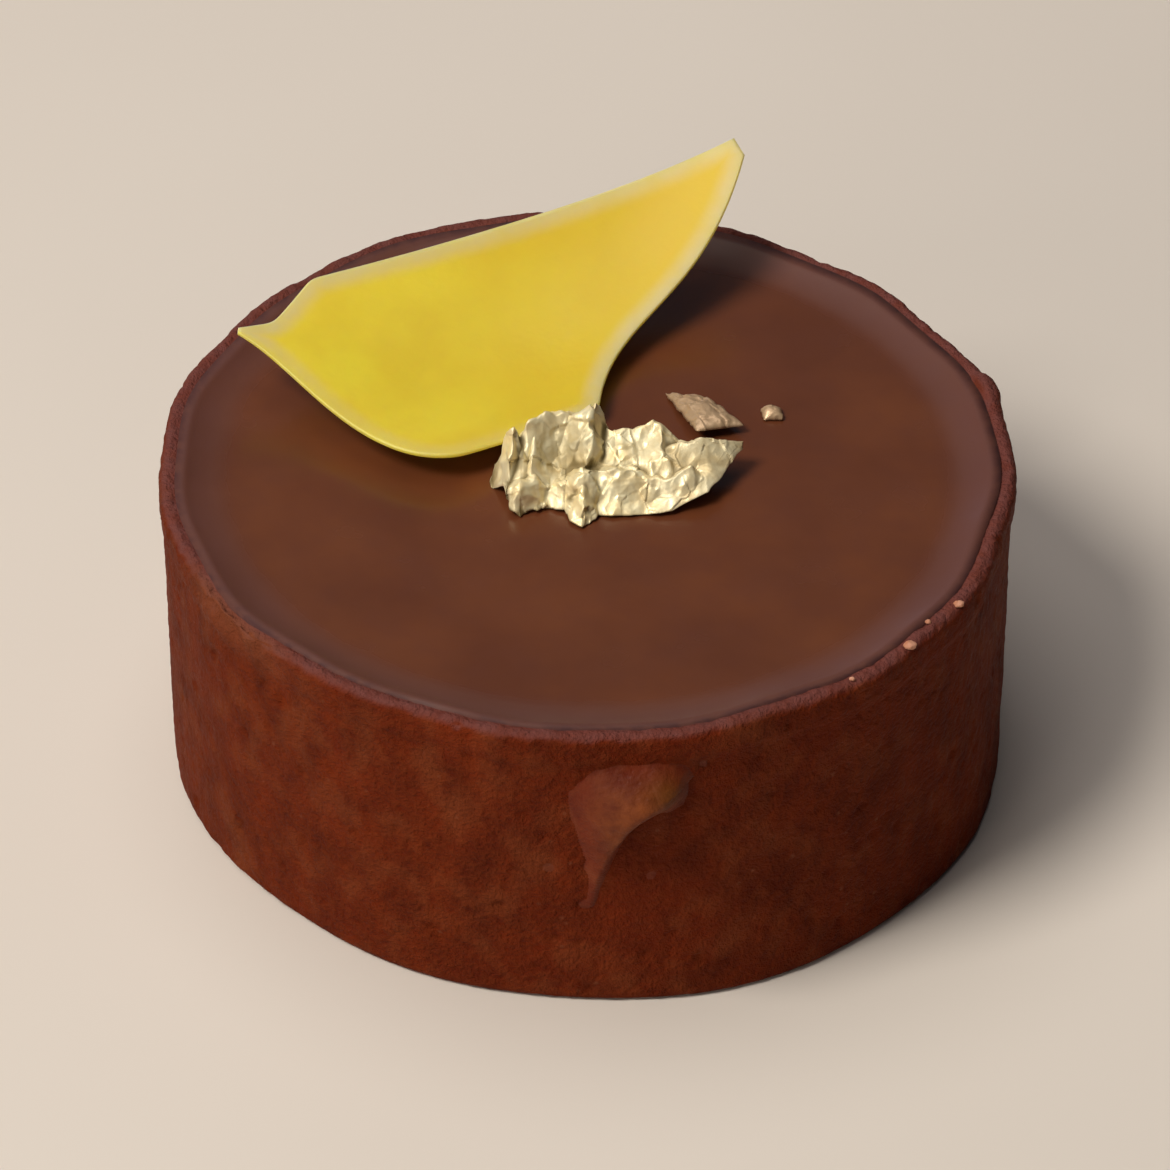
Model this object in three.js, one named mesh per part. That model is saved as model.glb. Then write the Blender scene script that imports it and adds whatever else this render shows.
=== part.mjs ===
// A small round chocolate tart: a straight-sided cocoa shortcrust shell filled almost level with
// dark chocolate, with a curved yellow chocolate shard and crumpled gold leaf on top, and one
// lump of caramel-brown filling that has run out and set on the front of the side.
// Millimetres, +Z up, -Y at the front. The origin is under the middle of the whole, on the
// plane that the tart stands on.

import * as THREE from "three";

// Shell
const HEIGHT = 24; // of the rim above the base
const RIM_RADIUS = 30; // at the lip, the widest place
const BASE_RADIUS = 29.65;
const BASE_ROUNDING = 0.6;
const LIP_DEPTH = 3.0; // the lip is the top band of the side
const LIP_PROUD = 0.25; // how far it stands out from the side below it
const RIM_ROUNDING = 0.7;
const RIM_WIDTH = 1.9; // crust that shows round the filling
const WALL_AT_FLOOR = 3.2;
const FLOOR = 3.0;
const CORNER_INSIDE = 2.5;

// Filling
const GAP = 0.3; // kept between pieces that touch
const GLAZE_LEVEL = HEIGHT - 0.8; // the flat of the filling
const MENISCUS_WIDTH = 3.2; // the band that climbs to the crust
const MENISCUS_RISE = 0.65;

// Unevenness of the round: [lobes round the tart, mm, bearing of a crest in degrees]
const RIM_WAVES = [
  [4, 0.1, 112],
  [7, 0.12, 115],
  [15, 0.13, 46],
];
const BASE_WAVES = [
  [1, 0.54, 0], // the base stands a little to the right of the rim
  [3, 0.22, -62],
  [8, 0.15, -68],
];
const RIM_DIPS = [
  [4, 0.08, 20],
  [9, 0.07, 75],
];
const CHIP = { bearing: -145, halfWidth: 11, depth: 0.7, reach: 4.2 }; // knocked off the rim's edge
const KNOB = { bearing: 19, halfWidth: 3, depth: -0.5, reach: 2.2 }; // stands out from the rim

// Shard: its height over the glaze is the sum of these terms times powers of x (rows) and y
// (columns), both in centimetres. Its outline is given by corners and bends as [x, y].
const SHARD_BEND = [
  [2.257, -1.334, -0.773, 1.565, -0.274],
  [0.4, 1.405, -1.259, 0.158],
  [0.387, 1.83, -0.597],
  [0.0, 0.275],
];
const SHARD_THICKNESS = 0.9;
const SHARD_STEPS = [24, 11]; // facets along and across
const SHARD_BEVEL = [0.03, 0.07]; // how far its underside is drawn in, as shares of its two ways
const SHARD_TIP_THICKNESS = 0.45; // as a share of the rest
const LEFT_TIP = [-24.7, 9.1];
const LEFT_TIP_FRONT = [-24.7, 8.7];
const NOTCH = [-22.3, 10.2];
const BACK_CORNER = [-19.8, 14.5];
const TOP_BEND = [-5.1, 21.7];
const HIGH_TIP = [10.2, 27.3];
const HIGH_TIP_RIGHT = [10.9, 25.9];
const RIGHT_BENDS = [
  [8.1, 14.7],
  [1.0, 16.0],
];
const RIGHT_CORNER = [0.8, 5.3];
const FRONT_CORNER = [-8.7, -1.1];
const LOWER_BENDS = [
  [-14.6, -3.4],
  [-19.8, 6.6],
];

// Gold leaf: the corners of the main piece's front and back edges as [x, y], from left to right
const LEAF_FRONT = [
  [-6.7, -2.0],
  [-5.4, -5.0],
  [-3.2, -4.4],
  [-1.4, -4.5],
  [-0.6, -6.2],
  [0.4, -6.0],
  [0.8, -5.1],
  [6.0, -4.8],
  [8.4, -3.6],
  [10.9, 0.5],
];
const LEAF_BACK = [
  [-6.7, -1.4],
  [-5.8, 0.4],
  [-0.6, 2.8],
  [0.5, 3.8],
  [1.7, 2.7],
  [4.7, 3.6],
  [8.0, 1.2],
  [10.9, 0.9],
];
const LEAF_CREST = [3.4, 4.6, 2.8, 0.4]; // heights from its left end to its right tip
const LEAF_CREST_AT = 0.72; // of the way from its front edge to its back edge
const LEAF_BACK_HEIGHT = 0.1; // as a share of the crest's
const LEAF_LEFT_RISE = 1.2; // the crest comes up to its height within this much of the left end
const LEAF_TIP_LIFT = { height: 1.8, from: 3.5, to: 12.0 }; // its right end stands off the glaze
const LEAF_DENT = { x: -1.7, y: -1.3, halfLength: 2.0, halfWidth: 1.5, depth: 0.9 };
const LEAF_LEAST = 0.2; // its least thickness
const LEAF_STEPS = [36, 13];

// Folds of the leaf that stand up like roofs, with the slopes of their left and right sides
const LEAF_FOLDS = [
  { start: [-5.7, -3.4], end: [-5.0, 0.2], lift: 1.0, left: 1.0, right: 2.2 },
  { start: [-3.8, -2.9], end: [-3.2, 1.2], lift: 0.7, left: 1.6, right: 0.5 },
  { start: [-4.6, 0.6], end: [-0.6, 1.5], lift: 2.0, left: 1.4, right: 0.9 },
  { start: [0.1, -1.2], end: [0.5, 3.4], lift: 1.9, left: 0.8, right: 2.0 },
  { start: [5.4, -1.6], end: [4.4, 3.0], lift: 1.1, left: 0.4, right: 1.0 },
  { start: [-1.8, -3.4], end: [7.4, -2.7], lift: 0.7, left: 0.8, right: 0.7 },
  { start: [-0.5, -3.4], end: [-0.2, -6.1], lift: 0.35, left: 0.5, right: 0.6 },
];

// Two scraps of leaf: corners of their back and front edges, from left to right, as [x, y, height
// above where they would lie flat]
const LARGE_FLAKE = {
  back: [[5.5, 8.9, 0], [8.0, 8.6, 0]],
  front: [[7.7, 3.6, 0.8], [11.0, 4.6, 0.6]],
  height: 0.8,
};
const SMALL_FLAKE = {
  back: [[12.2, 7.4, 0], [13.6, 7.3, 0]],
  front: [[12.5, 6.1, 0], [13.8, 6.2, 0]],
  height: 0.6,
};
const FLAKE_LEAST = 0.15; // their least thickness
const FLAKE_FOLD = { count: 2, depth: 0.25, slant: 0.35 };

// Lump on the side: the line of its ridge from its head down to its tail, as [across, height], and
// what changes along that line
const LUMP_RIDGE = [
  [5.0, 19.0],
  [3.4, 18.4],
  [2.0, 16.4],
  [0.7, 9.0],
];
const LUMP_PROUD = [1.6, 2.1, 2.2, 0.3, 0.35];
const LUMP_LEFT = [3.3, 4.0, 9.6, -0.6, 0.9]; // reach of its gentle side, towards the upper left
const LUMP_RIGHT = [2.6, 1.7, 1.2, 0.8, 0.7]; // reach of its steep side
const LUMP_HEAD = 0.2; // share of its facets that go round its head
const LUMP_HEAD_REACH = 2.6;
const LUMP_EXTENT = 0.85; // share of each reach where its edge is
const LUMP_LEAST = 0.12; // thickness at its edge
const LUMP_STEPS = [18, 8];

const AROUND = 80; // facets round the tart
const CM = 10;

const COCOA_CRUST = new THREE.MeshStandardMaterial({ color: 0x5a2411, roughness: 0.85, metalness: 0 });
const CHOCOLATE = new THREE.MeshStandardMaterial({ color: 0x5c3324, roughness: 0.35, metalness: 0 });
const YELLOW = new THREE.MeshStandardMaterial({ color: 0xdcb62e, roughness: 0.45, metalness: 0 });
const GOLD = new THREE.MeshStandardMaterial({ color: 0xd9b787, roughness: 0.3, metalness: 1 });
const CARAMEL = new THREE.MeshStandardMaterial({ color: 0x703c20, roughness: 0.5, metalness: 0 });

const { clamp, lerp, smoothstep, degToRad, radToDeg } = THREE.MathUtils;

// Sum of cosines round the tart at an angle in radians.
function waves(list, angle) {
  return list.reduce((sum, [lobes, size, crest]) => {
    return sum + size * Math.cos(lobes * (angle - degToRad(crest)));
  }, 0);
}

// Moves each vertex of a round piece out or in, as the hand-pressed crust is uneven.
// The change runs evenly from the base's waves to the rim's, and fades out towards the axis.
function makeUneven(geometry) {
  const place = geometry.getAttribute("position");
  for (let i = 0; i < place.count; i++) {
    const x = place.getX(i);
    const y = place.getY(i);
    const radius = Math.hypot(x, y);
    const angle = Math.atan2(y, x);
    const share = smoothstep(radius, BASE_RADIUS / 2, BASE_RADIUS * 0.85);
    const change = lerp(waves(BASE_WAVES, angle), waves(RIM_WAVES, angle), place.getZ(i) / HEIGHT);
    const scale = radius > 0 ? 1 + (share * change) / radius : 1;
    place.setXY(i, x * scale, y * scale);
  }
  return geometry;
}

// How much a fault of the rim's outer edge takes at a place, from 0 to 1.
function faultShare({ bearing, halfWidth, reach }, angle, height) {
  const aside = (radToDeg(angle) - bearing) / halfWidth;
  return Math.exp(-(aside ** 4)) * smoothstep(height, HEIGHT - reach, HEIGHT - reach / 4);
}

// Lowers the crust's top edge a little here and there, and moves its outer edge in or out where a
// chip is gone and where a knob stands out.
function wearRim(geometry) {
  const place = geometry.getAttribute("position");
  const insideRim = RIM_RADIUS - RIM_WIDTH - 1;
  const outsideRim = RIM_RADIUS - RIM_WIDTH / 2;
  for (let i = 0; i < place.count; i++) {
    const x = place.getX(i);
    const y = place.getY(i);
    const z = place.getZ(i);
    const radius = Math.hypot(x, y);
    if (z <= FLOOR + CORNER_INSIDE || radius < insideRim) continue;
    const angle = Math.atan2(y, x);
    const dip = smoothstep(z, HEIGHT - LIP_DEPTH, HEIGHT) * Math.abs(waves(RIM_DIPS, angle));
    const faults = radius < outsideRim ? [] : [CHIP, KNOB];
    const inwards = faults.reduce((sum, fault) => sum + fault.depth * faultShare(fault, angle, z), 0);
    const scale = 1 - inwards / radius;
    place.setXYZ(i, x * scale, y * scale, z - dip);
  }
  return geometry;
}

// A solid of revolution about Z from a path whose x is the radius and whose y is the height.
function turned(path, curveSteps) {
  const profile = path.getPoints(curveSteps);
  return new THREE.LatheGeometry(profile, AROUND).rotateX(Math.PI / 2);
}

// The shell in section: flat base, side with its lip, rim, then down the inside to the floor.
function shellSection() {
  const path = new THREE.Path();
  const lipUnder = HEIGHT - LIP_DEPTH;
  const rimInside = RIM_RADIUS - RIM_WIDTH;
  const inside = BASE_RADIUS - WALL_AT_FLOOR;
  path.moveTo(0, 0);
  path.lineTo(BASE_RADIUS - BASE_ROUNDING, 0);
  path.absarc(BASE_RADIUS - BASE_ROUNDING, BASE_ROUNDING, BASE_ROUNDING, -Math.PI / 2, 0);
  path.lineTo(RIM_RADIUS - LIP_PROUD, lipUnder);
  path.lineTo(RIM_RADIUS, lipUnder + LIP_DEPTH / 3);
  path.lineTo(RIM_RADIUS, HEIGHT - RIM_ROUNDING);
  path.absarc(RIM_RADIUS - RIM_ROUNDING, HEIGHT - RIM_ROUNDING, RIM_ROUNDING, 0, Math.PI / 2);
  path.lineTo(rimInside + RIM_ROUNDING / 2, HEIGHT);
  path.lineTo(rimInside, HEIGHT - RIM_ROUNDING / 2);
  path.lineTo(inside, FLOOR + CORNER_INSIDE);
  path.quadraticCurveTo(inside, FLOOR, inside - CORNER_INSIDE, FLOOR);
  path.lineTo(0, FLOOR);
  return path;
}

// The filling in section: it follows the inside of the shell, and its top is flat out to the
// meniscus, which curves up to the crust.
function fillingSection() {
  const path = new THREE.Path();
  const bottom = FLOOR + GAP;
  const foot = BASE_RADIUS - WALL_AT_FLOOR - GAP;
  const edge = RIM_RADIUS - RIM_WIDTH - GAP;
  const edgeRounding = RIM_ROUNDING / 2;
  const edgeLevel = GLAZE_LEVEL + MENISCUS_RISE;
  path.moveTo(0, bottom);
  path.lineTo(foot - CORNER_INSIDE, bottom);
  path.quadraticCurveTo(foot, bottom, foot, bottom + CORNER_INSIDE);
  path.lineTo(edge, edgeLevel - edgeRounding);
  path.lineTo(edge - edgeRounding, edgeLevel);
  path.quadraticCurveTo(edge - MENISCUS_WIDTH / 2, GLAZE_LEVEL, edge - MENISCUS_WIDTH, GLAZE_LEVEL);
  path.lineTo(0, GLAZE_LEVEL);
  return path;
}

function tartShell() {
  const geometry = wearRim(makeUneven(turned(shellSection(), 3)));
  return named("tart_shell", geometry, COCOA_CRUST);
}

function chocolateFilling() {
  return named("chocolate_filling", makeUneven(turned(fillingSection(), 5)), CHOCOLATE);
}

// A box of the given numbers of segments whose corners are moved by place(u, v, w), where u and
// v run from 0 to 1 along and across it, and w is -0.5 underneath and 0.5 on top.
function shapedBox(along, across, place) {
  const geometry = new THREE.BoxGeometry(1, 1, 1, along, across, 1);
  const position = geometry.getAttribute("position");
  const point = new THREE.Vector3();
  for (let i = 0; i < position.count; i++) {
    point.fromBufferAttribute(position, i);
    const moved = place(point.x + 0.5, point.y + 0.5, point.z);
    position.setXYZ(i, moved.x, moved.y, moved.z);
  }
  return geometry;
}

// A hump of the given share 0 to 1: nothing at both ends and 1 in the middle.
function hump(share) {
  return 4 * share * (1 - share);
}

// A curve in a plane from its ends and the bends between them.
function planeCurve(...corners) {
  const points = corners.map((corner) => new THREE.Vector2(...corner));
  if (points.length === 2) return new THREE.LineCurve(...points);
  if (points.length === 3) return new THREE.QuadraticBezierCurve(...points);
  return new THREE.CubicBezierCurve(...points);
}

// The value at a share of the way along a Bezier curve of any order.
function bezier(values, share) {
  if (values.length === 1) return values[0];
  const start = bezier(values.slice(0, -1), share);
  const end = bezier(values.slice(1), share);
  return lerp(start, end, share);
}

// Height over the glaze of the shard's top.
function shardHeight(x, y) {
  return SHARD_BEND.reduce((sum, row, i) => {
    return sum + row.reduce((part, term, j) => part + term * (x / CM) ** i * (y / CM) ** j, 0);
  }, 0);
}

// The two long edges of the shard in plan, from its left tip to its high tip.
function shardEdges() {
  const back = new THREE.CurvePath();
  back.add(planeCurve(LEFT_TIP, NOTCH));
  back.add(planeCurve(NOTCH, BACK_CORNER));
  back.add(planeCurve(BACK_CORNER, TOP_BEND, HIGH_TIP));

  const front = new THREE.CurvePath();
  front.add(planeCurve(LEFT_TIP_FRONT, LOWER_BENDS[1], LOWER_BENDS[0], FRONT_CORNER));
  front.add(planeCurve(FRONT_CORNER, RIGHT_CORNER));
  front.add(planeCurve(RIGHT_CORNER, RIGHT_BENDS[1], RIGHT_BENDS[0], HIGH_TIP_RIGHT));
  return [front, back];
}

// A thin sheet, bent like a dish between its edges, which are bevelled underneath.
function yellowShard() {
  const [front, back] = shardEdges();
  const top = (u, v) => {
    const at = front.getPointAt(u).lerp(back.getPointAt(u), v);
    return new THREE.Vector3(at.x, at.y, GLAZE_LEVEL + shardHeight(at.x, at.y));
  };
  const normal = (u, v) => {
    const step = 0.02;
    const low = (value) => Math.max(value - step, 0);
    const high = (value) => Math.min(value + step, 1);
    const along = top(high(u), v).sub(top(low(u), v));
    const across = top(u, high(v)).sub(top(u, low(v)));
    return along.cross(across).normalize();
  };
  const geometry = shapedBox(...SHARD_STEPS, (u, v, w) => {
    if (w > 0) return top(u, v);
    const inU = lerp(SHARD_BEVEL[0], 1 - SHARD_BEVEL[0], u);
    const inV = lerp(SHARD_BEVEL[1], 1 - SHARD_BEVEL[1], v);
    const body = Math.min(1, 3 * hump(inU));
    const thickness = SHARD_THICKNESS * lerp(SHARD_TIP_THICKNESS, 1, body);
    return top(inU, inV).addScaledVector(normal(inU, inV), -thickness);
  });
  return named("yellow_shard", geometry, YELLOW);
}

// The y at x of a line that runs through corners given as [x, y] from left to right.
function onLine(corners, x) {
  const next = Math.max(corners.findIndex(([at]) => at >= x), 1);
  const [startX, startY] = corners[next - 1];
  const [endX, endY] = corners[next];
  return lerp(startY, endY, (x - startX) / (endX - startX));
}

// How far a fold stands up at a place.
function foldHeight({ start, end, lift, left, right }, x, y) {
  const run = new THREE.Vector2(end[0] - start[0], end[1] - start[1]);
  const length = run.length();
  run.normalize();
  const from = new THREE.Vector2(x - start[0], y - start[1]);
  const along = run.dot(from);
  const aside = run.cross(from);
  const beyond = Math.max(-along, along - length, 0);
  const slope = aside > 0 ? left : right;
  return Math.max(lift - slope * Math.abs(aside) - beyond, 0);
}

// The main piece of leaf: a crumpled heap that climbs from its front edge to a crest, drops behind
// it, and has folds, one dent and a lifted right tip.
function goldLeaf() {
  const leftEnd = LEAF_FRONT[0][0];
  const rightEnd = LEAF_FRONT[LEAF_FRONT.length - 1][0];
  const geometry = shapedBox(...LEAF_STEPS, (u, v, w) => {
    const x = lerp(leftEnd, rightEnd, u);
    const y = lerp(onLine(LEAF_FRONT, x), onLine(LEAF_BACK, x), v);
    const crest = bezier(LEAF_CREST, u) * smoothstep(x, leftEnd, leftEnd + LEAF_LEFT_RISE);
    const climb = v / LEAF_CREST_AT;
    const drop = lerp(1, LEAF_BACK_HEIGHT, (v - LEAF_CREST_AT) / (1 - LEAF_CREST_AT));
    const fromDentX = (x - LEAF_DENT.x) / LEAF_DENT.halfLength;
    const fromDentY = (y - LEAF_DENT.y) / LEAF_DENT.halfWidth;
    const dent = LEAF_DENT.depth * Math.exp(-(fromDentX ** 2) - fromDentY ** 2);
    const fold = Math.max(...LEAF_FOLDS.map((of) => foldHeight(of, x, y)));
    const thickness = Math.max(crest * Math.min(climb, drop) - dent + fold, LEAF_LEAST);
    const lift = LEAF_TIP_LIFT.height * smoothstep(x, LEAF_TIP_LIFT.from, LEAF_TIP_LIFT.to);
    return new THREE.Vector3(x, y, GLAZE_LEVEL + GAP + lift + (w > 0 ? thickness : 0));
  });
  return named("gold_leaf", geometry, GOLD);
}

// A small scrap of leaf: a low heap between four corners, with folds across it.
function goldFlake(name, { back, front, height }, segments) {
  const [backEdge, frontEdge] = [back, front].map((ends) => {
    return new THREE.LineCurve3(...ends.map((end) => new THREE.Vector3(...end)));
  });
  const geometry = shapedBox(segments, segments, (u, v, w) => {
    const at = frontEdge.getPoint(u).lerp(backEdge.getPoint(u), v);
    const dome = Math.sqrt(hump(u) * hump(v));
    const turns = FLAKE_FOLD.count * (u + FLAKE_FOLD.slant * v);
    const fold = 1 - FLAKE_FOLD.depth * (1 - Math.cos(Math.PI * turns));
    const thickness = FLAKE_LEAST + (height - FLAKE_LEAST) * dome * fold;
    at.z += GLAZE_LEVEL + GAP + (w > 0 ? thickness : 0);
    return at;
  });
  return named(name, geometry, GOLD);
}

// The lump on the side: a drop with a round head and a narrow tail, laid against the wall. It
// stands out most along its ridge, and thins out to both sides and round its head.
function sideLump() {
  const ridge = planeCurve(...LUMP_RIDGE);
  const geometry = shapedBox(...LUMP_STEPS, (u, v, w) => {
    const share = Math.max((u - LUMP_HEAD) / (1 - LUMP_HEAD), 0);
    const behind = LUMP_HEAD_REACH * LUMP_EXTENT * Math.max(1 - u / LUMP_HEAD, 0);
    const way = ridge.getTangent(share);
    const leftwards = new THREE.Vector2(way.y, -way.x);
    const reach = bezier(v < 0.5 ? LUMP_LEFT : LUMP_RIGHT, share);
    const narrowed = Math.sqrt(1 - (behind / LUMP_HEAD_REACH) ** 2);
    const aside = LUMP_EXTENT * reach * narrowed * (1 - 2 * v);
    const at = ridge.getPoint(share).addScaledVector(way, -behind).addScaledVector(leftwards, aside);
    const falls = 1 - smoothstep(Math.hypot(aside, behind) / reach, 0, 1);
    const proud = LUMP_LEAST + (bezier(LUMP_PROUD, share) - LUMP_LEAST) * falls;
    const radius = wallRadius(at.y) + GAP + (w > 0 ? proud : 0);
    return new THREE.Vector3(at.x, -Math.sqrt(radius * radius - at.x * at.x), at.y);
  });
  return named("side_lump", makeUneven(geometry), CARAMEL);
}

// Radius of the outside of the side at a height, before it is made uneven.
function wallRadius(height) {
  const lipUnder = HEIGHT - LIP_DEPTH;
  const underLip = lerp(BASE_RADIUS, RIM_RADIUS - LIP_PROUD, Math.min(height / lipUnder, 1));
  const step = (height - lipUnder) / (LIP_DEPTH / 3);
  return underLip + LIP_PROUD * clamp(step, 0, 1);
}

function named(name, geometry, material) {
  const mesh = new THREE.Mesh(geometry, material);
  mesh.name = name;
  return mesh;
}

// Moves the whole so that the origin is under the middle of its box.
function centred(group) {
  const middle = new THREE.Box3().setFromObject(group).getCenter(new THREE.Vector3());
  group.position.set(-middle.x, -middle.y, 0);
  return group;
}

const tart = new THREE.Group();
tart.add(
  tartShell(),
  chocolateFilling(),
  yellowShard(),
  goldLeaf(),
  goldFlake("gold_flake_large", LARGE_FLAKE, 7),
  goldFlake("gold_flake_small", SMALL_FLAKE, 4),
  sideLump(),
);

export default centred(tart);
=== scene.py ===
"""Looks of a small round chocolate tart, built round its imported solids.

Each solid is replaced by a finer mesh: the crumbly cocoa crust, the glossy filling that climbs to
it, the curved yellow shard, the crumpled gold leaf with its two flakes, and the lump on the side.
"""
import math

import bmesh
import bpy
import numpy as np
from mathutils import Matrix, Vector, noise

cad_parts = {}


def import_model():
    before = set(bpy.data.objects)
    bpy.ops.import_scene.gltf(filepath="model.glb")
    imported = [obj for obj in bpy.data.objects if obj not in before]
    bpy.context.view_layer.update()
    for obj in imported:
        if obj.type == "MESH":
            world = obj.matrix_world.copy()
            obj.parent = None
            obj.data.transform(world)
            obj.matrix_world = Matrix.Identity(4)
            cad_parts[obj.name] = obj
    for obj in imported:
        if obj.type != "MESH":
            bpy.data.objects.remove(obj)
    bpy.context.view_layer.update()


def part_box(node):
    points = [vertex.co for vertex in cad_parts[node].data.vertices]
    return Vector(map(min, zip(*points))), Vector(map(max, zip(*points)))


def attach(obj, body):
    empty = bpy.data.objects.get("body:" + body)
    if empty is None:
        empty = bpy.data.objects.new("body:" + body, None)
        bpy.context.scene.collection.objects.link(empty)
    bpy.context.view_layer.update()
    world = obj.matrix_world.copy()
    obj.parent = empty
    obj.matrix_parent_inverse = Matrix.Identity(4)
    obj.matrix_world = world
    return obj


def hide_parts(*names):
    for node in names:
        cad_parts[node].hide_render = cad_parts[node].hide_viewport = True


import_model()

MM = 0.001  # all sizes below are in millimetres, and every mesh is scaled by this at the end

# Round of the tart, as in the solids
SHELL_LOW, SHELL_HIGH = (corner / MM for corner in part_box("tart_shell"))
HEIGHT = SHELL_HIGH.z
RIM_RADIUS = 30.0
BASE_RADIUS = 29.65
BASE_ROUNDING = 0.6
LIP_DEPTH = 3.0
LIP_PROUD = 0.25
RIM_ROUNDING = 0.7
RIM_WIDTH = 1.9
WALL_AT_FLOOR = 3.2
FLOOR = 3.0
CORNER_INSIDE = 2.5
GLAZE_LEVEL = HEIGHT - 0.8
MENISCUS_WIDTH = 3.2
MENISCUS_RISE = 0.65
RIM_WAVES = [(4, 0.1, 112), (7, 0.12, 115), (15, 0.13, 46)]  # lobes, mm, bearing of a crest
BASE_WAVES = [(1, 0.54, 0), (3, 0.22, -62), (8, 0.15, -68)]
RIM_DIPS = [(4, 0.08, 20), (9, 0.07, 75)]
CHIP_BEARING, CHIP_HALF_WIDTH, CHIP_DEPTH, CHIP_REACH = -145.0, 11.0, 0.7, 4.2
KNOB_BEARING, KNOB_HALF_WIDTH, KNOB_PROUD, KNOB_REACH = 19.0, 3.0, 0.5, 2.2

AROUND = 720  # quads round the tart
SIDE_STEP = 0.27  # height of a quad on the side


# ---------------------------------------------------------------- shapes in general

def smoothstep(value, low, high):
    share = np.clip((np.asarray(value, float) - low) / (high - low), 0.0, 1.0)
    return share * share * (3 - 2 * share)


def waves(terms, angle):
    return sum(size * np.cos(lobes * (angle - math.radians(crest))) for lobes, size, crest in terms)


def unevenness(angle, height):
    """How far the round stands out from a true circle."""
    up = np.asarray(height) / HEIGHT
    return up * waves(RIM_WAVES, angle) + (1 - up) * waves(BASE_WAVES, angle)


def noise_at(points, size, octaves=1, seed=0.0):
    """Perlin noise from about -1 to 1 at each of the points, with features of that size."""
    shift = Vector((seed * 17.3, seed * 5.1, seed * 9.7))
    if octaves == 1:
        return np.array([noise.noise(Vector(p) / size + shift) for p in points])
    return np.array([noise.fractal(Vector(p) / size + shift, 1.0, 2.0, octaves) for p in points])


def cells_at(points, size, seed=0.0):
    """Distance to the nearest cell point, in cells, and a random number for that cell."""
    shift = Vector((seed * 11.9, seed * 3.3, seed * 7.7))
    near, chance = [], []
    for p in points:
        distances, centres = noise.voronoi(Vector(p) / size + shift)
        near.append(distances[0])
        chance.append(noise.cell(centres[0] * 3.7 + Vector((0.31, 0.57, 0.73))))
    return np.array(near), np.array(chance)


def bezier(points, share):
    """Points of a Bezier curve of any order at the given shares of it."""
    layers = [np.outer(np.ones_like(share), p) for p in np.array(points, float)]
    t = np.asarray(share)[:, None]
    while len(layers) > 1:
        layers = [(1 - t) * a + t * b for a, b in zip(layers, layers[1:])]
    return layers[0]


def joined_curve(share, *curves):
    """Points at equal shares of the length of several Bezier curves laid end to end."""
    fine = np.concatenate([bezier(curve, np.linspace(0, 1, 80)) for curve in curves])
    run = np.concatenate([[0], np.cumsum(np.linalg.norm(np.diff(fine, axis=0), axis=1))])
    return np.stack([np.interp(share * run[-1], run, fine[:, k]) for k in range(3)], 1)


def mesh_object(name, points, faces, attributes=None):
    """A smooth-shaded object from points in millimetres and a list of faces."""
    mesh = bpy.data.meshes.new(name)
    mesh.from_pydata((np.asarray(points) * MM).tolist(), [], faces)
    mesh.validate()
    for key, values in (attributes or {}).items():
        mesh.attributes.new(key, "FLOAT", "POINT").data.foreach_set("value", np.asarray(values, np.float32))
    mesh.shade_smooth()
    thing = bpy.data.objects.new(name, mesh)
    bpy.context.scene.collection.objects.link(thing)
    return thing


def grid_normals(grid):
    """Unit normals of a grid of points, shaped (rows, columns, 3)."""
    across = np.gradient(grid, axis=1)
    along = np.gradient(grid, axis=0)
    normal = np.cross(along, across)
    return normal / np.maximum(np.linalg.norm(normal, axis=2, keepdims=True), 1e-9)


def round_normals(grid):
    """Unit normals of the grid of a body turned about the axis, facing out of it."""
    closed = np.concatenate([grid[:, -1:], grid, grid[:, :1]], 1)
    return -grid_normals(closed)[:, 1:-1]


def slab(top, bottom, attributes=None):
    """Points, faces and attributes of a closed thin body between two grids of points."""
    rows, columns = top.shape[:2]
    points = np.concatenate([top.reshape(-1, 3), bottom.reshape(-1, 3)])
    index = np.arange(rows * columns).reshape(rows, columns)
    a, b, c, d = index[:-1, :-1], index[1:, :-1], index[1:, 1:], index[:-1, 1:]
    faces = np.stack([a, b, c, d], -1).reshape(-1, 4).tolist()
    faces += (np.stack([d, c, b, a], -1).reshape(-1, 4) + rows * columns).tolist()
    rim = np.concatenate([index[:, 0], index[-1, 1:], index[-2::-1, -1], index[0, -2:0:-1]])
    low = rim + rows * columns
    faces += np.stack([rim, low, np.roll(low, -1), np.roll(rim, -1)], -1).tolist()
    doubled = {key: np.tile(np.asarray(values).ravel(), 2) for key, values in (attributes or {}).items()}
    return points, faces, doubled


def joined(name, slabs):
    """One object from several slabs that carry the same attributes."""
    points, faces, attributes = [], [], {}
    count = 0
    for more_points, more_faces, more in slabs:
        faces += [[index + count for index in face] for face in more_faces]
        points.append(more_points)
        count += len(more_points)
        for key, values in more.items():
            attributes.setdefault(key, []).append(values)
    whole = {key: np.concatenate(values) for key, values in attributes.items()}
    return mesh_object(name, np.concatenate(points), faces, whole)


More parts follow.
